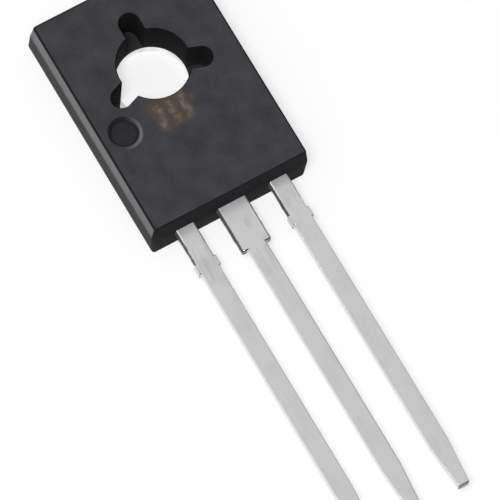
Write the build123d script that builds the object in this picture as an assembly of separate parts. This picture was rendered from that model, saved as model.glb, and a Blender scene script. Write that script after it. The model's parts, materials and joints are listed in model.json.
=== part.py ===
"""Plastic power transistor in a TO-126 style case, lying on its metal mounting face.

The origin is on the axis of the mounting hole, in the plane of the mounting face.
+Z points out of the front of the case, +Y to the end with the hole, and the leads run to -Y.
All lengths are in millimetres and all angles in degrees.
"""
from build123d import *
from math import atan2, degrees, radians, tan
import os

# ---------------------------------------------------------------- moulded case
CASE_WIDTH = 7.6          # across the parting line
CASE_LENGTH = 11.0        # from the parting line at the leads to the foot of the hole end
CASE_THICKNESS = 2.6
CASE_CORNER_R = 0.15      # upright corners
FRONT_EDGE_R = 0.1        # rounding round the front face
FRONT_DRAFT = 5.0         # slope of the front half's walls
BACK_DRAFT = 2.0          # slope of the back half's walls
HOLE_END_SLOPE = 7.0      # of the whole wall at the hole end
HOLE_R = 1.6              # mounting hole
HOLE_TO_END = 4.25        # from the hole's axis to the foot of the hole end
POCKET_WIDTH = 0.9        # clamp-pin pockets round the hole
POCKET_REACH = 2.55       # from the hole's axis to a pocket's round end
POCKET_SPREAD = 110.0     # from the pocket at the hole end to each of the other two
DIMPLE_INSET = 1.15       # pin-one dimple, from the parting wall to its middle
DIMPLE_BELOW_HOLE = 2.1   # from the hole's axis to its middle
DIMPLE_R = 0.66
DIMPLE_DEPTH = 0.25
DIMPLE_SLOPE = 25.0       # of its wall from upright

# ---------------------------------------------------------------- lead frame strip
STRIP_T = 0.5             # thickness of the stamped copper strip
LEAD_Z = 1.05             # back of the leads above the mounting face
LEAD_PITCH = 2.28
LEAD_WIDTH = 0.85
LEAD_LENGTH = 15.6        # free length below the case
TIP_WIDTH = 0.5
TIP_LENGTH = 2.1
SHOULDER_WIDTH = 1.34     # wide start of the middle lead
SHOULDER_LENGTH = 2.2
DAMBAR_STUB = 0.1         # what the trimmed tie bar leaves beside an outer lead
DAMBAR_WIDTH = 0.5

# ---------------------------------------------------------------- mounting pad
PAD_WIDTH = 4.9           # metal showing on the mounting face
PAD_TOP_WALL = 1.15       # moulding between the pad and the hole end
PAD_TAIL = 2.45           # from the hole's edge to the lead end of the pad
PAD_LIP = 0.25            # coined lip that keys the pad into the moulding
PAD_LIP_T = 0.25
PAD_CORNER_R = 0.5
KEY_NOTCH_R = 0.45        # half-round notches in the pad's sides
KEY_NOTCH_Y = 2.1
GROOVE_GAP = 0.2          # from the hole's edge to the moisture groove
GROOVE_WIDTH = 0.24
GROOVE_DEPTH = 0.12
NECK_WIDTH = 1.5          # strip that rises from the pad to the middle lead
NECK_SLOPE = 50.0         # of the rise, from the mounting face
BEND_R = 0.2              # inside radius of its two bends
SHOULDER_INSET = 0.25     # from the parting wall to where the neck steps in to the shoulder

# ---------------------------------------------------------------- inner posts of the outer leads
POST_WIDTH = 1.7
POST_LENGTH = 1.9
POST_GAP = 0.45           # moulding between a post and the neck
POST_INSET = 0.75         # from the parting wall to the near edge of a post
POST_CORNER_R = 0.25
ANCHOR_R = 0.3            # hole that the moulding fills

# ---------------------------------------------------------------- die and wires
DIE_SIDE = 1.5
DIE_T = 0.25
DIE_GAP = 0.2             # from the moisture groove to the die's solder
SOLDER_T = 0.04
SOLDER_MARGIN = 0.08
EMITTER_WIRE_D = 0.25
BASE_WIRE_D = 0.15
EMITTER_DX = -0.3         # bond places on the die, from its middle
EMITTER_DY = 0.25
BASE_DX = 0.42
BASE_DY = -0.4
FOOT_LENGTH = 2.0         # wedge bond, in wire diameters
FOOT_WIDTH = 1.3
FOOT_T = 0.6
LOOP_RISE = 0.45          # of a wire's top above the posts
LOOP_PEAK = 0.45          # share of a wire's reach from the die to its top
HEEL_R = 1.0              # bend next to a wedge bond, in wire diameters
LOOP_R = 2.0              # bend at a wire's top

# ---------------------------------------------------------------- worked out from the above
PARTING_Z = LEAD_Z + STRIP_T
HOLE_END_Y = HOLE_TO_END
LEAD_END_Y = HOLE_TO_END - CASE_LENGTH
PAD_HOLE_END_Y = HOLE_END_Y - PAD_TOP_WALL
PAD_LEAD_END_Y = -HOLE_R - PAD_TAIL
GROOVE_Y = -HOLE_R - GROOVE_GAP - GROOVE_WIDTH / 2
SOLDER_SIDE = DIE_SIDE + 2 * SOLDER_MARGIN
DIE_Y = GROOVE_Y - GROOVE_WIDTH / 2 - DIE_GAP - SOLDER_SIDE / 2
DIE_Z = STRIP_T + SOLDER_T
DIE_TOP = DIE_Z + DIE_T
POST_INNER_X = NECK_WIDTH / 2 + POST_GAP
SHOULDER_START_Y = LEAD_END_Y + SHOULDER_INSET


def case_section(z, inset):
    """The case's outline at one height, drawn in from the parting line on three sides."""
    lead_end = LEAD_END_Y + inset
    hole_end = HOLE_END_Y - z * tan(radians(HOLE_END_SLOPE))
    outline = RectangleRounded(CASE_WIDTH - 2 * inset, hole_end - lead_end, CASE_CORNER_R)
    return Pos(0, (lead_end + hole_end) / 2, z) * outline


def case_half(z, draft):
    """One drafted half of the case, from the parting line to the given height."""
    inset = abs(z - PARTING_Z) * tan(radians(draft))
    return loft([case_section(PARTING_Z, 0), case_section(z, inset)], ruled=True)


def mounting_bore():
    """The round hole through pad and case."""
    return Pos(0, 0, CASE_THICKNESS / 2) * Cylinder(HOLE_R, CASE_THICKNESS + 2 * FRONT_EDGE_R)


def clamp_pockets():
    """Slots that mould pins leave round the hole, down to the pad they hold flat."""
    run = POCKET_REACH - POCKET_WIDTH / 2
    slot = Pos(run / 2, 0, STRIP_T) * SlotCenterToCenter(run, POCKET_WIDTH)
    pocket = extrude(slot, amount=CASE_THICKNESS, dir=(0, 0, 1))
    return [Rot(0, 0, 90 + turn) * pocket for turn in (-POCKET_SPREAD, 0, POCKET_SPREAD)]


def pin_one_dimple():
    """Shallow round recess with a sloping wall."""
    floor_r = DIMPLE_R - DIMPLE_DEPTH * tan(radians(DIMPLE_SLOPE))
    place = Pos(DIMPLE_INSET - CASE_WIDTH / 2, -DIMPLE_BELOW_HOLE, CASE_THICKNESS - DIMPLE_DEPTH / 2)
    return place * Cone(floor_r, DIMPLE_R, DIMPLE_DEPTH)


def moulded_case(inserts):
    """Epoxy moulding, with an exact seat for every insert."""
    front = case_half(CASE_THICKNESS, FRONT_DRAFT)
    front = fillet(front.faces().sort_by(Axis.Z)[-1].edges(), FRONT_EDGE_R)
    case = front + case_half(0, BACK_DRAFT)
    case -= [mounting_bore(), pin_one_dimple()] + clamp_pockets()
    for insert in inserts:
        case -= insert
    return case


def strip_blank(stations):
    """A lead punched from the strip: half its width is given at each station along it."""
    right = [(half, y) for y, half in stations]
    left = [(-half, y) for y, half in reversed(stations)]
    return extrude(Pos(0, 0, LEAD_Z) * make_face(Polyline(*right, *left, close=True)), amount=STRIP_T)


def lead_tail():
    """The stations that all three leads share, from the trimmed tie bar to the tip."""
    tip_y = LEAD_END_Y - LEAD_LENGTH
    return [(tip_y + TIP_LENGTH, LEAD_WIDTH / 2), (tip_y, TIP_WIDTH / 2)]


def middle_lead():
    """Collector lead with its wide shoulder next to the case."""
    step_y = LEAD_END_Y - SHOULDER_LENGTH
    shoulder = [(SHOULDER_START_Y, SHOULDER_WIDTH / 2), (step_y, SHOULDER_WIDTH / 2)]
    return strip_blank(shoulder + [(step_y, LEAD_WIDTH / 2)] + lead_tail())


def pad_plate(grow, low_z, high_z):
    """One layer of the mounting pad, grown outwards on every side."""
    width = PAD_WIDTH + 2 * grow
    length = PAD_HOLE_END_Y - PAD_LEAD_END_Y + 2 * grow
    middle_y = (PAD_HOLE_END_Y + PAD_LEAD_END_Y) / 2
    outline = Pos(0, middle_y, low_z) * RectangleRounded(width, length, PAD_CORNER_R + grow)
    return extrude(outline, amount=high_z - low_z)


def mounting_pad():
    """Pad with coined lip, hole, key notches and moisture groove."""
    lip_z = STRIP_T - PAD_LIP_T
    pad = pad_plate(0, 0, lip_z) + pad_plate(PAD_LIP, lip_z, STRIP_T)
    for side in (-1, 1):
        pad -= Pos(side * (PAD_WIDTH / 2 + PAD_LIP), KEY_NOTCH_Y, 0) * Cylinder(KEY_NOTCH_R, 3 * STRIP_T)
    groove = Box(PAD_WIDTH + 4 * PAD_LIP, GROOVE_WIDTH, 2 * GROOVE_DEPTH)
    return pad - mounting_bore() - Pos(0, GROOVE_Y, STRIP_T) * groove


def neck():
    """Bent strip that lifts the middle lead from the pad to the plane of the other leads."""
    rise_start = PAD_LEAD_END_Y - PAD_LIP
    rise_end = rise_start - LEAD_Z / tan(radians(NECK_SLOPE))
    mid_low = STRIP_T / 2
    mid_high = LEAD_Z + STRIP_T / 2
    route = [(PAD_LEAD_END_Y, mid_low), (rise_start, mid_low), (rise_end, mid_high)]
    route.append((SHOULDER_START_Y, mid_high))
    path = FilletPolyline(*route, radius=BEND_R + STRIP_T / 2)
    return extrude(Plane.YZ * trace(path, STRIP_T), amount=NECK_WIDTH / 2, both=True)


def collector_frame():
    """Pad, neck and middle lead, stamped and formed from one strip."""
    return mounting_pad() + neck() + middle_lead()


def outer_lead(side):
    """Lead beside the collector: bond post inside the case, straight lead outside it."""
    stub_y = LEAD_END_Y - SHOULDER_LENGTH
    wide = LEAD_WIDTH / 2 + DAMBAR_STUB
    stub = [(stub_y + DAMBAR_WIDTH, LEAD_WIDTH / 2), (stub_y + DAMBAR_WIDTH, wide), (stub_y, wide)]
    start = [(LEAD_END_Y + POST_INSET + POST_LENGTH / 2, LEAD_WIDTH / 2)]
    blank = strip_blank(start + stub + [(stub_y, LEAD_WIDTH / 2)] + lead_tail())
    lead = Pos(side * LEAD_PITCH, 0, 0) * blank
    post_x, post_y = post_middle(side)
    post = Pos(post_x, post_y, LEAD_Z) * RectangleRounded(POST_WIDTH, POST_LENGTH, POST_CORNER_R)
    anchor = Pos(side * LEAD_PITCH, LEAD_END_Y + POST_INSET + 2 * ANCHOR_R, LEAD_Z)
    return lead + extrude(post, amount=STRIP_T) - anchor * Cylinder(ANCHOR_R, 3 * STRIP_T)


def post_middle(side):
    """Middle of an outer lead's bond post."""
    return side * (POST_INNER_X + POST_WIDTH / 2), LEAD_END_Y + POST_INSET + POST_LENGTH / 2


def transistor_die():
    """Silicon die above its solder."""
    return Pos(0, DIE_Y, DIE_Z + DIE_T / 2) * Box(DIE_SIDE, DIE_SIDE, DIE_T)


def die_solder():
    """Solder between die and pad."""
    return Pos(0, DIE_Y, STRIP_T + SOLDER_T / 2) * Box(SOLDER_SIDE, SOLDER_SIDE, SOLDER_T)


def bond_wire(die_dx, die_dy, side, diameter):
    """Aluminium wire, wedge-bonded to the die and to an outer lead's post."""
    start = Vector(die_dx, DIE_Y + die_dy, DIE_TOP)
    post_x, post_y = post_middle(side)
    end = Vector(post_x, post_y + POST_LENGTH / 4, PARTING_Z)
    flat = Vector(end.X - start.X, end.Y - start.Y, 0)
    reach = flat.length
    foot = FOOT_LENGTH * diameter
    low = DIE_TOP + diameter / 2
    high = PARTING_Z + diameter / 2
    top = PARTING_Z + LOOP_RISE - diameter / 2
    route = [(0, low), (foot, low), (LOOP_PEAK * reach, top), (reach - foot, high), (reach, high)]
    bends = [HEEL_R * diameter, LOOP_R * diameter, HEEL_R * diameter]
    upright = Plane(origin=(start.X, start.Y, 0), x_dir=flat, z_dir=flat.cross(Vector(0, 0, 1)))
    path = upright * FilletPolyline(*route, radius=bends)
    wire = sweep(Plane(origin=path @ 0, z_dir=path % 0) * Circle(diameter / 2), path=path)
    wedge = Box(foot, FOOT_WIDTH * diameter, FOOT_T * diameter)
    turn = Rot(0, 0, degrees(atan2(flat.Y, flat.X)))
    lift = Vector(0, 0, FOOT_T * diameter / 2)
    return wire + Pos(start + lift) * turn * wedge + Pos(end + lift) * turn * wedge


def build():
    """Every piece of the transistor by name."""
    pieces = {
        "collector_frame": collector_frame(),
        "base_lead": outer_lead(1),
        "emitter_lead": outer_lead(-1),
        "transistor_die": transistor_die(),
        "die_solder": die_solder(),
        "base_wire": bond_wire(BASE_DX, BASE_DY, 1, BASE_WIRE_D),
        "emitter_wire": bond_wire(EMITTER_DX, EMITTER_DY, -1, EMITTER_WIRE_D),
    }
    pieces["moulded_case"] = moulded_case(list(pieces.values()))
    return pieces


os.makedirs("parts", exist_ok=True)
for name, piece in build().items():
    piece.label = name
    export_step(piece, "parts/" + name + ".step")
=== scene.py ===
"""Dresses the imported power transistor: finishes, rounded edges, moulding flash, stage and camera."""
import json
from math import radians

import bmesh
import bpy
from bpy.props import FloatProperty, FloatVectorProperty, IntProperty, PointerProperty
from mathutils import Matrix, Vector, noise


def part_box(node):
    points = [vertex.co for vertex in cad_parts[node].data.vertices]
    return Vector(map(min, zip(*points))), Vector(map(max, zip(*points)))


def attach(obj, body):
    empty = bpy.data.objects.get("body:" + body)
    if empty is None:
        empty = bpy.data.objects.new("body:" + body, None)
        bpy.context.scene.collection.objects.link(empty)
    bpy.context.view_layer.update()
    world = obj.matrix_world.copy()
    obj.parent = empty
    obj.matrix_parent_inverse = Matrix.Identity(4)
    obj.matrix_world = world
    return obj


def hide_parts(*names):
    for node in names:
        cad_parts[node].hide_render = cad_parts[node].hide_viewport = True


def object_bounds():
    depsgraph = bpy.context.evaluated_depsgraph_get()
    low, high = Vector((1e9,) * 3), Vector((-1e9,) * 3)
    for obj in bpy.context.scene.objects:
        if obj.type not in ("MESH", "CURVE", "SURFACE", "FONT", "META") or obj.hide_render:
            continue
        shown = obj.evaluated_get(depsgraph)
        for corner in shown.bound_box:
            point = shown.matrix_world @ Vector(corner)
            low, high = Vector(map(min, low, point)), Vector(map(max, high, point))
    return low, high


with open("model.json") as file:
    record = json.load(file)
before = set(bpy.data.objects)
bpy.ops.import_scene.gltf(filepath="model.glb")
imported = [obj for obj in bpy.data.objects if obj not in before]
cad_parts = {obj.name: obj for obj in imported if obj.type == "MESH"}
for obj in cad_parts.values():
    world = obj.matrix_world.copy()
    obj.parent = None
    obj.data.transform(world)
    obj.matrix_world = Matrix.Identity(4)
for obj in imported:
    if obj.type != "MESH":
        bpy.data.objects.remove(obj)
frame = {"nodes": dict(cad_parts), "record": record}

bl_info = {
    "name": "Power transistor dressing",
    "version": (1, 0, 0),
    "blender": (4, 5, 0),
    "location": "View3D > Sidebar > Transistor",
    "description": "Finishes, rounded edges, moulding flash, stage and camera for the packed transistor",
    "category": "Object",
}

MM = 0.001
HAIR = 0.002 * MM         # closer than this, two places are the same
WELD = HAIR / 20          # closer than this, two corners of a mesh are merged
CAD_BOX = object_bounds()
CASE_LOW, CASE_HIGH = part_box("moulded_case")
LEAD_LOW, LEAD_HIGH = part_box("base_lead")
PARTING_Z = LEAD_HIGH.z
PAD_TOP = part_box("die_solder")[0].z
BORE_R = frame["record"]["mounts"][0]["dims"]["r_mm"] * MM
SIDE_BAND = 0.4 * MM      # the case's sloping long walls lie within this of its widest
END_BAND = 0.5 * MM       # its sloping hole end lies within this of its longest
STRIP_CUT = CASE_LOW.y + 0.2 * MM      # just inside the wall that the leads come out of
BLACK = (0, 0, 0)
WHITE = (1, 1, 1)
SHADED_ANGLE = 40         # degrees; an edge sharper than this is shaded as an edge
ROUNDED_ANGLE = 25        # degrees; an edge sharper than this can be rounded
PARTING_ANGLE = 3         # degrees; less than the mould's two halves make with each other
SEEN_RAYS = ("Is Camera Ray", "Is Glossy Ray", "Is Transmission Ray")


# ---------------------------------------------------------------- settings
class CaseSettings(bpy.types.PropertyGroup):
    """Sizes and colours of the moulded case."""

    edge_radius: FloatProperty(
        name="Edge radius",
        description="Rounding of the hole, the pockets, the dimple and the back's rim",
        default=0.05 * MM, min=0, unit="LENGTH", precision=5)
    front_edge: FloatProperty(
        name="Front edge", description="Height of the rounding round the front face",
        default=0.1 * MM, unit="LENGTH", precision=5)
    colour: FloatVectorProperty(
        name="Epoxy", description="Filled black epoxy",
        default=(0.0335, 0.0325, 0.038), subtype="COLOR")
    # Painted shade: this darker epoxy is painted on the lead end, round the front edge, in the hole,
    # pockets and dimple, and part-way on the back half's walls.
    painted_shade_colour: FloatVectorProperty(
        name="Deep epoxy",
        description="Resin-rich skin of the dimple, the lead end and part of the back half",
        default=(0.010, 0.010, 0.012), subtype="COLOR")
    # Painted shade: near-black epoxy painted on the walls of the hole and its pockets.
    bore_shade_colour: FloatVectorProperty(
        name="Bore", description="Epoxy skin of the hole's wall and pockets",
        default=(0.003, 0.003, 0.004), subtype="COLOR")
    # Painted highlight: paler epoxy painted on the dimple's lit wall and rim.
    dimple_highlight_colour: FloatVectorProperty(
        name="Scuff", description="Paler epoxy on the dimple's scuffed side",
        default=(0.115, 0.120, 0.130), subtype="COLOR")
    grain: FloatProperty(
        name="Grain", description="Size of the spark-eroded mould's grain",
        default=0.09 * MM, unit="LENGTH", precision=5)
    grain_depth: FloatProperty(
        name="Grain depth", description="Height of that grain",
        default=0.006 * MM, unit="LENGTH", precision=6)
    roughness: FloatProperty(
        name="Roughness", description="Of the eroded front face", default=0.55, min=0, max=1)
    # Roughness where that painted shade lies.
    deep_roughness: FloatProperty(
        name="Deep roughness", description="Of the resin-rich skin", default=0.95, min=0, max=1)
    polish: FloatProperty(
        name="Polish", description="Of the front half's walls, rubbed smooth by the mould",
        default=0.55, min=0, max=1)
    # Share of the painted shade, and of the higher roughness, on the back half's walls.
    back_dullness_and_shade: FloatProperty(
        name="Back dullness", description="Share of the resin-rich skin on the back half's walls",
        default=0.5, min=0, max=1)


class MarkSettings(bpy.types.PropertyGroup):
    """The plain laser mark below the hole."""

    overlap: FloatProperty(
        name="Overlap", description="How far the tint reaches past the hole's lowest edge",
        default=0.15 * MM, unit="LENGTH", precision=5)
    width: FloatProperty(
        name="Width", description="Of the tinted field", default=1.8 * MM, unit="LENGTH", precision=5)
    height: FloatProperty(
        name="Height", description="Of the tinted field", default=1.47 * MM, unit="LENGTH", precision=5)
    offset: FloatProperty(
        name="Offset", description="Of the field's middle from the hole's axis",
        default=-0.35 * MM, unit="LENGTH", precision=5)
    bars: IntProperty(name="Bars", description="Plain upright bars in the field", default=3, min=1)
    wobble: FloatProperty(
        name="Wobble", description="How far a bar strays sideways",
        default=0.45 * MM, unit="LENGTH", precision=5)
    wobble_size: FloatProperty(
        name="Wobble size", description="Length over which a bar strays",
        default=0.45 * MM, unit="LENGTH", precision=5)
    field_colour: FloatVectorProperty(
        name="Field", description="Epoxy tinted by the laser",
        default=(0.064, 0.045, 0.032), subtype="COLOR")
    bar_colour: FloatVectorProperty(
        name="Bars", description="Epoxy bleached by the laser",
        default=(0.160, 0.125, 0.100), subtype="COLOR")


class LeadSettings(bpy.types.PropertyGroup):
    """Sizes and colours of the tinned strip and of the flash on its sides."""

    edge_radius: FloatProperty(
        name="Edge radius", description="Rounding that the stamping leaves",
        default=0.07 * MM, min=0, unit="LENGTH", precision=5)
    shoulder: FloatProperty(
        name="Shoulder", description="From the case to where the tie bar was cut off",
        default=2.2 * MM, unit="LENGTH", precision=5)
    tin: FloatVectorProperty(
        name="Tin", description="Tin plating", default=(0.90, 0.90, 0.895), subtype="COLOR")
    # Worn patches, and painted shade on the leads' sides and next to the case.
    tin_shade: FloatVectorProperty(
        name="Worn tin", description="Tin where it was handled, on the sides and next to the case",
        default=(0.66, 0.66, 0.68), subtype="COLOR")
    # Bare copper at the cuts, painted darker to stand for the shade on these faces.
    cut: FloatVectorProperty(
        name="Cut faces", description="Bare copper that the shears left",
        default=(0.21, 0.175, 0.15), subtype="COLOR")
    # Painted shade: a black, matt film painted on the pad in the pocket at the hole end.
    pocket_shade: FloatVectorProperty(
        name="Resin bleed", description="Epoxy film on the pad, in the pocket at the hole end",
        default=(0.012, 0.012, 0.014), subtype="COLOR")
    flash_colour: FloatVectorProperty(
        name="Flash", description="Epoxy skin, so thin that the metal shows through",
        default=(0.125, 0.12, 0.115), subtype="COLOR")
    flash_thickness: FloatProperty(
        name="Flash thickness", description="Epoxy skin on a lead's sides, at the case",
        default=0.06 * MM, unit="LENGTH", precision=5)


class InsideSettings(bpy.types.PropertyGroup):
    """Colours of what the case seals in."""

    silicon: FloatVectorProperty(
        name="Silicon", description="Polished die", default=(0.20, 0.21, 0.25), subtype="COLOR")
    solder: FloatVectorProperty(
        name="Solder", description="Solder below the die", default=(0.50, 0.50, 0.49), subtype="COLOR")
    wire: FloatVectorProperty(
        name="Wire", description="Drawn aluminium", default=(0.80, 0.80, 0.81), subtype="COLOR")


class StageSettings(bpy.types.PropertyGroup):
    """Floor, lamp, world and camera."""

    floor_size: FloatProperty(name="Floor", description="Half its side", default=0.6, unit="LENGTH")
    floor_colour: FloatVectorProperty(
        name="Floor colour", description="Pale paper", default=(0.93, 0.93, 0.925), subtype="COLOR")
    floor_white: FloatProperty(
        name="Floor white", description="Share of plain white in the floor as it is seen",
        default=0.6, min=0, max=1)
    key_power: FloatProperty(
        name="Key", description="Softbox beside the camera", default=0.42, unit="POWER")
    key_size: FloatProperty(
        name="Key size", description="Side of its square", default=0.06, unit="LENGTH")
    key_distance: FloatProperty(
        name="Key distance", description="From the case", default=0.25, unit="LENGTH")
    key_azimuth: FloatProperty(
        name="Key azimuth", description="Turn from the side of the leads",
        default=radians(-50), subtype="ANGLE")
    key_elevation: FloatProperty(
        name="Key elevation", description="Above the floor", default=radians(70), subtype="ANGLE")
    tent_axis: FloatVectorProperty(
        name="Tent", description="Where the white tent over the part is brightest",
        default=(-0.30, 0.30, 0.90), subtype="DIRECTION")
    tent_light: FloatProperty(name="Tent light", description="Of its bright side", default=0.65, min=0)
    room_light: FloatProperty(name="Room light", description="Of its dim side", default=0.15, min=0)
    lens: FloatProperty(name="Lens", description="Focal length in millimetres", default=424.1)
    camera_distance: FloatProperty(
        name="Camera distance", description="From the point it looks at",
        default=249.4 * MM, unit="LENGTH")
    camera_azimuth: FloatProperty(
        name="Camera azimuth", description="Turn from the side of the leads",
        default=radians(-37.76), subtype="ANGLE")
    camera_elevation: FloatProperty(
        name="Camera elevation", description="Above the floor", default=radians(69.77), subtype="ANGLE")
    camera_roll: FloatProperty(
        name="Camera roll", description="About the line of sight", default=radians(8.3), subtype="ANGLE")
    camera_aim: FloatVectorProperty(
        name="Camera aim", description="Point in the middle of the view",
        default=(-0.334 * MM, -8.933 * MM, 1.3 * MM), subtype="XYZ", unit="LENGTH", precision=5)


# ---------------------------------------------------------------- node graphs
class Signal:
    """A node's output. Python arithmetic on it adds Math nodes to the same graph."""

    def __init__(self, graph, socket):
        self.graph = graph
        self.socket = socket

    def math(self, operation, *values):
        """A Math node of that operation on the values."""
        return self.graph.add("ShaderNodeMath", {"operation": operation}, dict(enumerate(values)))

    def __add__(self, other):
        return self.math("ADD", self, other)

    def __sub__(self, other):
        return self.math("SUBTRACT", self, other)

    def __rsub__(self, other):
        return self.math("SUBTRACT", other, self)

    def __mul__(self, other):
        return self.math("MULTIPLY", self, other)

    def __truediv__(self, other):
        return self.math("DIVIDE", self, other)

    __radd__ = __add__
    __rmul__ = __mul__

    def highest(self, other):
        """The higher of the two."""
        return self.math("MAXIMUM", self, other)

    def size(self):
        """The number without its sign."""
        return self.math("ABSOLUTE", self)

    def root(self):
        """The square root."""
        return self.math("SQRT", self)

    def fraction(self):
        """What is left above the next lower whole number."""
        return self.math("FRACT", self)

    def clamped(self):
        """The number, held between 0 and 1."""
        return self.graph.add("ShaderNodeClamp", {}, {"Value": self})

    def above(self, edge, softness):
        """0 below the edge and 1 above it."""
        return ((self - edge) / softness + 0.5).clamped()

    def between(self, low, high, softness):
        """1 from low to high and 0 elsewhere."""
        return self.above(low, softness) * (1 - self.above(high, softness))


class Graph:
    """A node tree that is put together from signals."""

    def __init__(self, tree):
        self.tree = tree

    def add(self, kind, settings, inputs, output=0):
        """Adds a node: its settings first, then the values or signals of its sockets."""
        node = self.tree.nodes.new(kind)
        for setting, value in settings.items():
            setattr(node, setting, value)
        for socket, value in inputs.items():
            self.feed(node.inputs[socket], value)
        return Signal(self, node.outputs[output])

    def feed(self, socket, value):
        """Links a signal to a socket, or sets a plain value on it."""
        if isinstance(value, Signal):
            self.tree.links.new(value.socket, socket)
        else:
            socket.default_value = value

    def place(self):
        """Object coordinates, in metres."""
        return self.add("ShaderNodeTexCoord", {}, {}, "Object")

    def seen(self):
        """1 for what the camera sees, in metal and through glass too, and 0 for light cast on things."""
        direct, mirrored, through = [self.add("ShaderNodeLightPath", {}, {}, kind) for kind in SEEN_RAYS]
        return direct + mirrored + through

    def axes(self, place):
        """The three coordinates of a place."""
        split = self.add("ShaderNodeSeparateXYZ", {}, {"Vector": place}).socket.node
        return [Signal(self, socket) for socket in split.outputs]

    def noise(self, place, size, detail=2.0):
        """Even noise from 0 to 1 whose lumps have the given size."""
        inputs = {"Vector": place, "Scale": 1 / size, "Detail": detail}
        return self.add("ShaderNodeTexNoise", {}, inputs, "Fac")

    def stretched(self, place, scale):
        """The place with each axis multiplied by its own number."""
        return self.add("ShaderNodeMapping", {}, {"Vector": place, "Scale": scale})

    def blend(self, factor, colour, other):
        """Colour where the factor is 0, and the other one where it is 1."""
        colour_a, colour_b, result = 6, 7, 2      # places of the Mix node's colour sockets
        inputs = {0: factor, colour_a: opaque(colour), colour_b: opaque(other)}
        return self.add("ShaderNodeMix", {"data_type": "RGBA"}, inputs, result)

    def bump(self, height, depth):
        """A normal from a height of 0 to 1 that stands for the depth."""
        return self.add("ShaderNodeBump", {}, {"Height": height, "Distance": depth}, "Normal")


def opaque(colour):
    """A colour property as RGBA, or a signal as it is."""
    return colour if isinstance(colour, Signal) else (*colour, 1)


def scaled(colour, factor):
    """A colour with each of its channels multiplied by the factor."""
    return [channel * factor for channel in colour]


def new_finish(name, constants):
    """A node material with the constants set on its shader, its graph and a way to feed its shader."""
    material = bpy.data.materials.new(name)
    material.use_nodes = True
    graph = Graph(material.node_tree)
    sockets = material.node_tree.nodes["Principled BSDF"].inputs
    for socket, value in constants.items():
        sockets[socket].default_value = value
    return material, graph, lambda socket, value: graph.feed(sockets[socket], value)


def finish_named(name, make):
    """The material of that name, made the first time that it is asked for."""
    return bpy.data.materials.get(name) or make()


# ---------------------------------------------------------------- epoxy
def mark_masks(graph, place, axes, mark):
    """Where the laser tinted the front face, and where it bleached the bars."""
    soft = 0.25 * MM          # blur of the field's and the bars' edges
    margin = 0.15 * MM        # from the field's ends to the bars'
    bar_start, bar_end, bar_soft = 0.32, 0.72, 0.3      # shares of the width that each bar has
    wear_level, wear_soft = 0.42, 0.3
    x, y, z = axes
    left = mark.offset - mark.width / 2
    top = mark.overlap - BORE_R
    low = top - mark.height
    wobble = (graph.noise(place, mark.wobble_size, 1) - 0.5) * mark.wobble
    field = (x - wobble).between(left, left + mark.width, soft) * (y + wobble).between(low, top, soft)
    field = field * z.above(CASE_HIGH.z - HAIR, HAIR)
    across = ((x + wobble - left) * (mark.bars / mark.width)).fraction()
    stroke = across.between(bar_start, bar_end, bar_soft)
    along = (y + wobble).between(low + margin, top - mark.overlap - margin, soft)
    unworn = graph.noise(place, mark.wobble_size / 2, 2).above(wear_level, wear_soft)
    return field, field * stroke * along * unworn


def on_dimple_floor(place):
    """On the dimple's floor: clear of walls, hole and lead end, of the seats and of the front face."""
    across = abs(place.x) < CASE_HIGH.x - SIDE_BAND
    along = CASE_LOW.y + MM < place.y < -BORE_R
    return across and along and PARTING_Z + 0.5 * MM < place.z < CASE_HIGH.z - 0.15 * MM


def dimple_masks(axes):
    """Inside the dimple, and where a highlight is painted on its wall and rim."""
    wall = 0.13 * MM          # across the sloping wall
    highlight_width, highlight_soft = 0.14 * MM, 0.05 * MM
    highlight_start, highlight_full = 0.6, 1.2      # along its direction, in radii of the floor
    to_right, to_low = 0.85, 0.5      # that direction
    case = frame["nodes"]["moulded_case"].data
    floor = [vert.co.xy for vert in case.vertices if on_dimple_floor(vert.co)]
    middle = sum(floor, Vector((0, 0))) / len(floor)
    radius = max((place - middle).length for place in floor)
    x, y, z = axes
    right, up = x - middle.x, y - middle.y
    reach = (right * right + up * up).root()
    front = z.above(PARTING_Z, HAIR)
    inside = (1 - reach.above(radius + wall, HAIR)) * front * (1 - z.above(CASE_HIGH.z - HAIR, HAIR))
    # Painted highlight: a ring on the dimple's wall and rim, towards +x and -y.
    ring = reach.between(radius, radius + highlight_width, highlight_soft)
    lower_right = (right * to_right - up * to_low).above(highlight_start * radius, highlight_full * radius)
    return inside, front * ring * lower_right


def wall_masks(axes, case):
    """The case's outer walls apart from the lead end, and what lies in front of the parting line."""
    past_parting, parting_soft = 0.12 * MM, 0.3 * MM
    x, y, z = axes
    outer = x.size().above(CASE_HIGH.x - SIDE_BAND, HAIR).highest(y.above(CASE_HIGH.y - END_BAND, HAIR))
    outer = outer * y.above(STRIP_CUT, HAIR)
    flank = outer * (1 - z.above(CASE_HIGH.z - case.front_edge, HAIR))
    return flank, z.above(PARTING_Z + past_parting, parting_soft)


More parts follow.
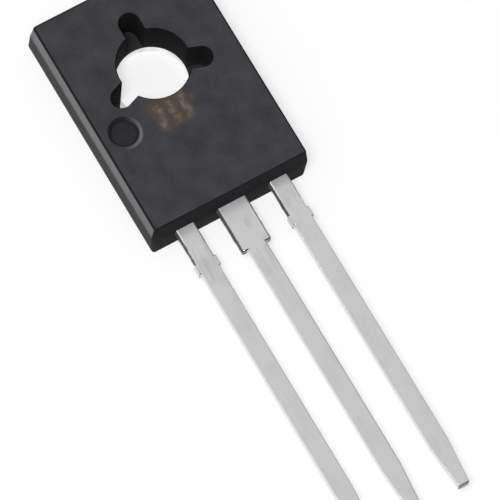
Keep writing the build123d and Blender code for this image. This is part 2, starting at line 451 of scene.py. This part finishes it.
def epoxy_finish():
    """Black filled epoxy with the mould's eroded grain and the laser mark, painted shade on its walls,
    hole, pockets and dimple, and a painted highlight on the dimple's rim.
    """
    case = bpy.context.scene.transistor_case
    mark = bpy.context.scene.transistor_mark
    mottle_size = 10          # in grains
    mottle_share, grain_share = 0.6, 0.4
    contrast, contrast_soft = 0.3, 0.35      # of the two, to either side of the colour
    dimple_paleness = 0.35    # how much less of the painted shade the dimple has
    pocket_reach = MM         # past the hole's wall
    least_tint, least_bleach = 0.35, 0.25      # where the grain is lowest
    bar_depth, uneven_roughness = 0.3, 0.1
    shine = {"IOR": 1.3, "Coat IOR": 1.5, "Coat Roughness": 0.3}
    material, graph, feed = new_finish("moulded_epoxy", shine)
    place = graph.place()
    axes = graph.axes(place)
    x, y, z = axes
    grain = graph.noise(place, case.grain, 3)
    mottle = graph.noise(place, mottle_size * case.grain)
    field, bars = mark_masks(graph, place, axes, mark)
    flank, front_half = wall_masks(axes, case)
    dimple, highlighted = dimple_masks(axes)
    # Painted shade: darker epoxy on every wall but the polished flanks, less of it in the dimple, and
    # part-way on the back half's walls.
    painted_shade = z.between(HAIR, CASE_HIGH.z - HAIR, HAIR) * (1 - flank)
    painted_shade = (painted_shade * (1 - dimple * dimple_paleness)).highest(flank * (1 - front_half) * case.back_dullness_and_shade)
    # Where the hole's painted shade goes: the hole and its pockets.
    hole_shade = 1 - (x * x + y * y).root().above(BORE_R + pocket_reach, HAIR)
    dark, light = scaled(case.colour, 1 - contrast), scaled(case.colour, 1 + contrast)
    uneven = (mottle * mottle_share + grain * grain_share).above(0.5, contrast_soft)
    body = graph.blend(uneven, dark, light)
    body = graph.blend(painted_shade, body, case.painted_shade_colour)
    body = graph.blend(painted_shade * hole_shade, body, case.bore_shade_colour)
    # Painted highlight on the dimple's lit side.
    body = graph.blend(highlighted, body, case.dimple_highlight_colour)
    tinted = graph.blend(field * (grain + least_tint).clamped(), body, mark.field_colour)
    marked = graph.blend(bars * (grain + least_bleach).clamped(), tinted, mark.bar_colour)
    feed("Base Color", marked)
    rough = case.roughness + painted_shade * (case.deep_roughness - case.roughness)
    feed("Roughness", rough + (grain - 0.5) * uneven_roughness)
    feed("Coat Weight", flank * front_half * case.polish)
    feed("Normal", graph.bump(grain - bars * bar_depth, case.grain_depth))
    return material


def flash_finish():
    """The thin skin of epoxy that the mould leaves on a lead's sides."""
    grain_size, grain_soft, shade = 0.12 * MM, 0.4, 0.5
    roughness, uneven_roughness = 0.5, 0.2
    colour = bpy.context.scene.transistor_leads.flash_colour
    material, graph, feed = new_finish("epoxy_flash", {"IOR": 1.4})
    grain = graph.noise(graph.place(), grain_size, 2)
    feed("Base Color", graph.blend(grain.above(0.5, grain_soft), scaled(colour, shade), colour))
    feed("Roughness", grain * uneven_roughness + roughness)
    return material


# ---------------------------------------------------------------- metal, silicon and paper
def sheared_mask(axes, lead):
    """The cut faces at the leads' tips and, half as strong on the outer leads, where the tie bar was;
    their bare copper is painted darker as shade.
    """
    face_depth = 0.05 * MM
    beside_middle = 1.2 * MM      # from the axis to between two leads
    stub_paleness = 0.5
    x, y, z = axes
    step = CASE_LOW.y - lead.shoulder
    tips = 1 - y.above(LEAD_LOW.y + face_depth, HAIR)
    steps = y.between(step - HAIR, step + face_depth, HAIR)
    inner = z.between(LEAD_LOW.z + HAIR, LEAD_HIGH.z - HAIR, HAIR)
    outer_lead = x.size().above(beside_middle, HAIR)
    return tips.highest(steps * (1 - outer_lead * stub_paleness)) * inner


def tin_finish():
    """Tin with faint streaks along the leads, duller and with painted shade on their sides and next to
    the case.
    """
    streak_size, streak_stretch = 0.12 * MM, (1, 0.07, 1)
    patch_size, patch_stretch = 0.8 * MM, (1, 0.5, 1)
    patch_share, streak_share = 0.7, 0.3
    wear_level, wear_soft = 0.56, 0.16
    handled_reach, handled_soft = 3 * MM, 2 * MM      # down the leads, from the case
    handled_wear, other_wear = 0.6, 0.25
    near_reach, near_soft = 0.6 * MM, 1.0 * MM
    side_shade, near_shade, near_tarnish = 0.6, 1.2, 0.25
    smooth, dulling, unevenness, pocket_shade_roughness = 0.08, 0.25, 0.04, 0.8
    pocket_shade_start = 0.5 * BORE_R      # from the hole's axis, towards the hole end
    pad_polish, pad_evenness, texture_depth = 0.65, 0.7, 0.0015 * MM
    lead = bpy.context.scene.transistor_leads
    material, graph, feed = new_finish("tinned_strip", {})
    place = graph.place()
    axes = graph.axes(place)
    y, z = axes[1:]
    streaks = graph.noise(graph.stretched(place, streak_stretch), streak_size, 3)
    patches = graph.noise(graph.stretched(place, patch_stretch), patch_size, 3)
    wear = (patches * patch_share + streaks * streak_share).above(wear_level, wear_soft)
    handled = y.above(CASE_LOW.y - handled_reach, handled_soft) * handled_wear + other_wear
    pad = 1 - z.above(LEAD_LOW.z - HAIR, HAIR)
    # Painted shade: black, matt and not metal on the pad in the pocket at the hole end.
    pocket_shade = y.above(pocket_shade_start, HAIR) * z.between(PAD_TOP - HAIR, PAD_TOP + HAIR, HAIR)
    side = z.between(LEAD_LOW.z + lead.edge_radius, LEAD_HIGH.z - lead.edge_radius, HAIR)
    near = y.above(CASE_LOW.y - near_reach, near_soft) * (1 - pad)
    # Worn patches, and painted shade on the sides and next to the case.
    shade = (wear * handled).highest((side * side_shade).highest(near * near_shade))
    tin = graph.blend(shade, lead.tin, lead.tin_shade)
    # Bare copper on the cut faces, darkened as painted shade.
    tin = graph.blend(sheared_mask(axes, lead), tin, lead.cut)
    feed("Base Color", graph.blend(pocket_shade, tin, lead.pocket_shade))
    feed("Metallic", 1 - pocket_shade.highest(near * near_tarnish))
    rough = streaks * unevenness + wear * unevenness + side.highest(near) * dulling + smooth
    feed("Roughness", rough * (1 - pad * pad_polish) + pocket_shade * pocket_shade_roughness)
    feed("Normal", graph.bump((streaks + patches) * (1 - pad * pad_evenness), texture_depth))
    return material


def silicon_finish():
    """Polished silicon with a faint metallised pattern."""
    finger_pitch, finger_start, finger_end, finger_soft = 0.16 * MM, 0.25, 0.75, 0.1
    finger_light = 2          # times as bright as the silicon
    cloud_size, roughness, uneven_roughness = 0.3 * MM, 0.12, 0.15
    colour = bpy.context.scene.transistor_inside.silicon
    material, graph, feed = new_finish("silicon_die", {"Metallic": 0.7})
    place = graph.place()
    across = graph.axes(place)[0]
    fingers = (across / finger_pitch).fraction().between(finger_start, finger_end, finger_soft)
    feed("Base Color", graph.blend(fingers, colour, scaled(colour, finger_light)))
    feed("Roughness", graph.noise(place, cloud_size) * uneven_roughness + roughness)
    return material


def metal_finish(name, colour, roughness, stretch):
    """Plain metal with noise that is drawn out along one axis."""
    grain_size, grain_depth = 0.05 * MM, 0.003 * MM
    shade, uneven_roughness = 0.8, 0.2
    material, graph, feed = new_finish(name, {"Metallic": 1.0})
    grain = graph.noise(graph.stretched(graph.place(), stretch), grain_size, 3)
    feed("Base Color", graph.blend(grain, scaled(colour, shade), colour))
    feed("Roughness", grain * uneven_roughness + roughness)
    feed("Normal", graph.bump(grain, grain_depth))
    return material


def paper_finish():
    """Pale seamless paper that looks partly plain white, and throws no more light on the part for it."""
    fibre_size, fibre_shade = 2 * MM, 0.99
    matt = {"Roughness": 1.0, "Specular IOR Level": 0.0, "Emission Strength": 1.0}
    stage = bpy.context.scene.transistor_stage
    material, graph, feed = new_finish("pale_paper", matt)
    fibre = graph.noise(graph.place(), fibre_size, 3)
    paper = graph.blend(fibre, scaled(stage.floor_colour, fibre_shade), stage.floor_colour)
    white = graph.seen() * stage.floor_white
    feed("Base Color", graph.blend(white, paper, BLACK))
    feed("Emission Color", graph.blend(white, BLACK, WHITE))
    return material


# ---------------------------------------------------------------- shapes
def welded_copy(node):
    """A CAD node's shape with its loose triangles joined and its flat faces whole."""
    flat_angle = radians(0.5)
    shape = bmesh.new()
    shape.from_mesh(frame["nodes"][node].data)
    bmesh.ops.remove_doubles(shape, verts=shape.verts, dist=WELD)
    bmesh.ops.dissolve_limit(shape, angle_limit=flat_angle, verts=shape.verts, edges=shape.edges)
    return shape


def edges_where(shape, sharper_than, wanted):
    """Edges sharper than the angle whose two ends both pass the test."""
    limit = radians(sharper_than)
    edges = [edge for edge in shape.edges if edge.is_manifold and edge.calc_face_angle() > limit]
    return [edge for edge in edges if all(wanted(vert.co) for vert in edge.verts)]


def round_off(shape, edges, radius):
    """Rounds the edges to the radius."""
    bmesh.ops.bevel(
        shape, geom=edges, offset=radius, offset_type="OFFSET", segments=3, profile=0.5,
        affect="EDGES", material=-1, clamp_overlap=True)
    bmesh.ops.dissolve_degenerate(shape, edges=shape.edges, dist=WELD)


def add_piece(shape, name, slot, finish, *stands_for, creases=()):
    """Turns a shape into a smoothly shaded piece that rides on the part."""
    for face in shape.faces:
        face.smooth = True
    for edge in (*edges_where(shape, SHADED_ANGLE, lambda place: True), *creases):
        edge.smooth = False
    mesh = bpy.data.meshes.new(name)
    shape.to_mesh(mesh)
    shape.free()
    mesh.materials.append(finish)
    piece = bpy.data.objects.new(name, mesh)
    bpy.context.scene.collection.objects.link(piece)
    weighted = piece.modifiers.new("flat faces stay flat", "WEIGHTED_NORMAL")
    weighted.keep_sharp = True
    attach(piece, "root")
    if stands_for:
        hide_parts(*stands_for)


def dress_node(node, finish):
    """Gives a CAD node that stays its better material."""
    cad = frame["nodes"][node]
    cad.data.materials.clear()
    cad.data.materials.append(finish)


def near_outline(place):
    """On one of the case's four outer walls."""
    reach = 0.3 * MM
    return (abs(place.x) > CASE_HIGH.x - reach or place.y > CASE_HIGH.y - reach
            or place.y < CASE_LOW.y + reach)


def on_front(place):
    """On the front face."""
    return place.z > CASE_HIGH.z - HAIR


def on_back_rim(place):
    """Where the back meets an outer wall."""
    return place.z < HAIR and near_outline(place)


def on_parting_line(place):
    """Where the mould's two halves met, on an outer wall."""
    return abs(place.z - PARTING_Z) < HAIR and near_outline(place)


def in_bore(place):
    """On the wall of the hole, above the pad."""
    return place.xy.length < BORE_R + 0.1 * MM and place.z > PAD_TOP + HAIR


def case_shape(radius):
    """The moulding with its hole, pockets, dimple and back rim rounded."""
    shape = welded_copy("moulded_case")
    edges = [
        edge for test in (on_front, in_bore, on_back_rim)
        for edge in edges_where(shape, ROUNDED_ANGLE, test)]
    round_off(shape, list(dict.fromkeys(edges)), radius)
    return shape


def cut_strip(node):
    """A piece of the lead frame with its faces divided just inside the case."""
    shape = welded_copy(node)
    bmesh.ops.bisect_plane(
        shape, geom=[*shape.verts, *shape.edges, *shape.faces], dist=WELD,
        plane_co=(0, STRIP_CUT, 0), plane_no=(0, 1, 0))
    return shape


def strip_shape(node, radius):
    """A piece of the lead frame with the edges outside the case rounded."""
    shape = cut_strip(node)
    outside = edges_where(shape, ROUNDED_ANGLE, lambda place: place.y < STRIP_CUT + HAIR)
    round_off(shape, outside, radius)
    return shape


def strip_sides(node):
    """Where a lead's left and right sides are as it leaves the case, and which way each one faces."""
    shape = cut_strip(node)
    across = [vert.co.x for vert in shape.verts if abs(vert.co.y - STRIP_CUT) < HAIR]
    shape.free()
    return (min(across), -1), (max(across), 1)


def add_flash(shape, wall_x, side, lead):
    """Adds a thin ragged skin of epoxy to one side of a lead, from the case to the cut tie bar."""
    start = CASE_LOW.y + 0.05 * MM      # inside the case
    length = lead.shoulder + 0.02 * MM
    height = 0.9 * (LEAD_HIGH.z - LEAD_LOW.z)      # short of the lead's rounded edges
    root_depth = 0.04 * MM    # of the skin's back, inside the lead
    thinning = 0.55           # share of its thickness that it loses on the way down
    squareness = 4            # how late it thins towards its upper and lower edges
    mean, rag, rag_size = 0.7, 0.9, 0.3 * MM      # of its thickness
    edge_rag, edge_rag_size = 0.05 * MM, 0.2 * MM
    middle = Vector((wall_x, start - length / 2, (LEAD_LOW.z + LEAD_HIGH.z) / 2))
    upright = Matrix.Translation(middle) @ Matrix.Rotation(radians(90) * side, 4, "Y")
    skin = bmesh.ops.create_grid(
        shape, x_segments=6, y_segments=40, size=0.5,
        matrix=upright @ Matrix.Diagonal((height, length, 1, 1)))["verts"]
    faces = list(dict.fromkeys(face for vert in skin for face in vert.link_faces))
    root = bmesh.ops.extrude_face_region(shape, geom=faces)["geom"]
    root = [item for item in root if isinstance(item, bmesh.types.BMVert)]
    bmesh.ops.translate(shape, vec=(-side * root_depth, 0, 0), verts=root)
    for vert in skin:
        down = (start - vert.co.y) / length
        up = abs(vert.co.z - middle.z) / (height / 2)
        ragged = mean + rag * noise.noise(vert.co / rag_size)
        thickness = side * lead.flash_thickness * (1 - thinning * down) * (1 - up ** squareness)
        vert.co.x += thickness * ragged
        vert.co.z += edge_rag * up * noise.noise(vert.co / edge_rag_size)


def put_in_order(faces):
    """Sorts the faces by their places alone, because an extrusion leaves some of them in any order."""
    skewed = Vector((1, 0.37, 0.11))      # no two faces lie equally far along this
    faces.sort(key=lambda face: skewed.dot(face.calc_center_median()))


# ---------------------------------------------------------------- stage
def lay_floor(stage):
    """A square of paper at the height that the part rests on."""
    shape = bmesh.new()
    bmesh.ops.create_grid(shape, x_segments=1, y_segments=1, size=stage.floor_size)
    bmesh.ops.translate(shape, vec=(0, 0, CAD_BOX[0].z), verts=shape.verts)
    mesh = bpy.data.meshes.new("floor")
    shape.to_mesh(mesh)
    shape.free()
    mesh.materials.append(paper_finish())
    floor = bpy.data.objects.new("floor", mesh)
    bpy.context.scene.collection.objects.link(floor)


def aimed(aim, distance, azimuth, elevation, roll=0.0):
    """The place of a lamp or camera that stands that far off, round and up, and looks at the aim."""
    turn = Matrix.Rotation(azimuth, 4, "Z") @ Matrix.Rotation(radians(90) - elevation, 4, "X")
    turn = turn @ Matrix.Rotation(roll, 4, "Z")
    return Matrix.Translation(aim) @ turn @ Matrix.Translation((0, 0, distance))


def hang_key_light(stage):
    """A square softbox that points at the front face."""
    lamp = bpy.data.lights.new("key_light", "AREA")
    lamp.energy = stage.key_power
    lamp.size = stage.key_size
    holder = bpy.data.objects.new("key_light", lamp)
    front = Vector((0, (CASE_LOW.y + CASE_HIGH.y) / 2, CASE_HIGH.z))
    holder.matrix_world = aimed(front, stage.key_distance, stage.key_azimuth, stage.key_elevation)
    bpy.context.scene.collection.objects.link(holder)


def light_tent(stage):
    """The world as a white tent that is bright on one side and dim on the other."""
    halfway, softness = 0.45, 0.9      # cosines of the angle from the tent's axis
    world = bpy.data.worlds.new("tent")
    world.use_nodes = True
    bpy.context.scene.world = world
    graph = Graph(world.node_tree)
    direction = graph.add("ShaderNodeTexCoord", {}, {}, "Generated")
    axis = Vector(stage.tent_axis).normalized()
    facing = graph.add(
        "ShaderNodeVectorMath", {"operation": "DOT_PRODUCT"}, {0: direction, 1: axis}, "Value")
    bright_side = facing.above(halfway, softness)
    strength = stage.room_light + bright_side * (stage.tent_light - stage.room_light)
    background = world.node_tree.nodes["Background"].inputs
    graph.feed(background["Strength"], strength)
    graph.feed(background["Color"], opaque(WHITE))


def place_camera(stage):
    """The camera, aimed along the line of sight without shift or blur."""
    lens = bpy.data.cameras.new("camera")
    lens.lens = stage.lens
    lens.clip_start = stage.camera_distance / 10
    lens.clip_end = 10        # past the floor's far corners
    camera = bpy.data.objects.new("camera", lens)
    camera.matrix_world = aimed(
        Vector(stage.camera_aim), stage.camera_distance, stage.camera_azimuth, stage.camera_elevation,
        stage.camera_roll)
    bpy.context.scene.collection.objects.link(camera)
    bpy.context.scene.camera = camera


# ---------------------------------------------------------------- operators and panel
class TRANSISTOR_OT_case(bpy.types.Operator):
    """Round the moulded case's edges and give it its epoxy finish"""

    bl_idname = "transistor.case"
    bl_label = "Moulded case"

    def execute(self, context):
        shape = case_shape(context.scene.transistor_case.edge_radius)
        epoxy = finish_named("moulded_epoxy", epoxy_finish)
        parting_line = edges_where(shape, PARTING_ANGLE, on_parting_line)
        add_piece(shape, "case_moulding", "epoxy", epoxy, "moulded_case", creases=parting_line)
        return {"FINISHED"}


class TRANSISTOR_OT_strips(bpy.types.Operator):
    """Round the stamped edges of the three leads and tin them"""

    bl_idname = "transistor.strips"
    bl_label = "Lead frame"

    def execute(self, context):
        tin = finish_named("tinned_strip", tin_finish)
        radius = context.scene.transistor_leads.edge_radius
        for node, name in STRIPS.items():
            add_piece(strip_shape(node, radius), name, "tinned_copper", tin, node)
        return {"FINISHED"}


class TRANSISTOR_OT_flash(bpy.types.Operator):
    """Leave moulding flash on both sides of every lead, next to the case"""

    bl_idname = "transistor.flash"
    bl_label = "Moulding flash"

    def execute(self, context):
        shape = bmesh.new()
        for node in STRIPS:
            for wall_x, side in strip_sides(node):
                add_flash(shape, wall_x, side, context.scene.transistor_leads)
        bmesh.ops.recalc_face_normals(shape, faces=shape.faces)
        put_in_order(shape.faces)
        add_piece(shape, "lead_flash", "epoxy", finish_named("epoxy_flash", flash_finish))
        return {"FINISHED"}


class TRANSISTOR_OT_inside(bpy.types.Operator):
    """Give the die, its solder and the two wires their finishes"""

    bl_idname = "transistor.inside"
    bl_label = "Die and wires"

    def execute(self, context):
        inside = context.scene.transistor_inside
        dress_node("transistor_die", finish_named("silicon_die", silicon_finish))
        solder = metal_finish("soft_solder", inside.solder, roughness=0.4, stretch=(1, 1, 1))
        dress_node("die_solder", solder)
        wire = metal_finish("drawn_wire", inside.wire, roughness=0.2, stretch=(1, 0.2, 1))
        dress_node("base_wire", wire)
        dress_node("emitter_wire", wire)
        return {"FINISHED"}


class TRANSISTOR_OT_stage(bpy.types.Operator):
    """Lay the paper floor and place the lamp, the white tent and the camera"""

    bl_idname = "transistor.stage"
    bl_label = "Stage"

    def execute(self, context):
        stage = context.scene.transistor_stage
        lay_floor(stage)
        hang_key_light(stage)
        light_tent(stage)
        place_camera(stage)
        context.scene.view_settings.view_transform = "Standard"
        return {"FINISHED"}


class TRANSISTOR_PT_dressing(bpy.types.Panel):
    """Lists the steps that dress the transistor, and their settings."""

    bl_idname = "TRANSISTOR_PT_dressing"
    bl_label = "Power transistor"
    bl_space_type = "VIEW_3D"
    bl_region_type = "UI"
    bl_category = "Transistor"

    def draw(self, context):
        for step in STEPS:
            self.layout.operator(step.bl_idname)
        for name, group in SETTINGS.items():
            for setting in group.__annotations__:
                self.layout.prop(getattr(context.scene, name), setting)


SETTINGS = {
    "transistor_case": CaseSettings,
    "transistor_mark": MarkSettings,
    "transistor_leads": LeadSettings,
    "transistor_inside": InsideSettings,
    "transistor_stage": StageSettings,
}
STEPS = (TRANSISTOR_OT_case, TRANSISTOR_OT_strips, TRANSISTOR_OT_flash, TRANSISTOR_OT_inside,
         TRANSISTOR_OT_stage)
STRIPS = {
    "collector_frame": "collector_strip",
    "base_lead": "base_strip",
    "emitter_lead": "emitter_strip",
}


def register():
    """Registers the settings, the steps and the panel."""
    for name, group in SETTINGS.items():
        bpy.utils.register_class(group)
        setattr(bpy.types.Scene, name, PointerProperty(type=group))
    for item in (*STEPS, TRANSISTOR_PT_dressing):
        bpy.utils.register_class(item)


def unregister():
    """Takes them out again."""
    for item in (TRANSISTOR_PT_dressing, *reversed(STEPS)):
        bpy.utils.unregister_class(item)
    for name, group in SETTINGS.items():
        delattr(bpy.types.Scene, name)
        bpy.utils.unregister_class(group)


def main():
    """Runs every step in order."""
    register()
    bpy.ops.transistor.case()
    bpy.ops.transistor.strips()
    bpy.ops.transistor.flash()
    bpy.ops.transistor.inside()
    bpy.ops.transistor.stage()


if __name__ == "__main__":
    main()
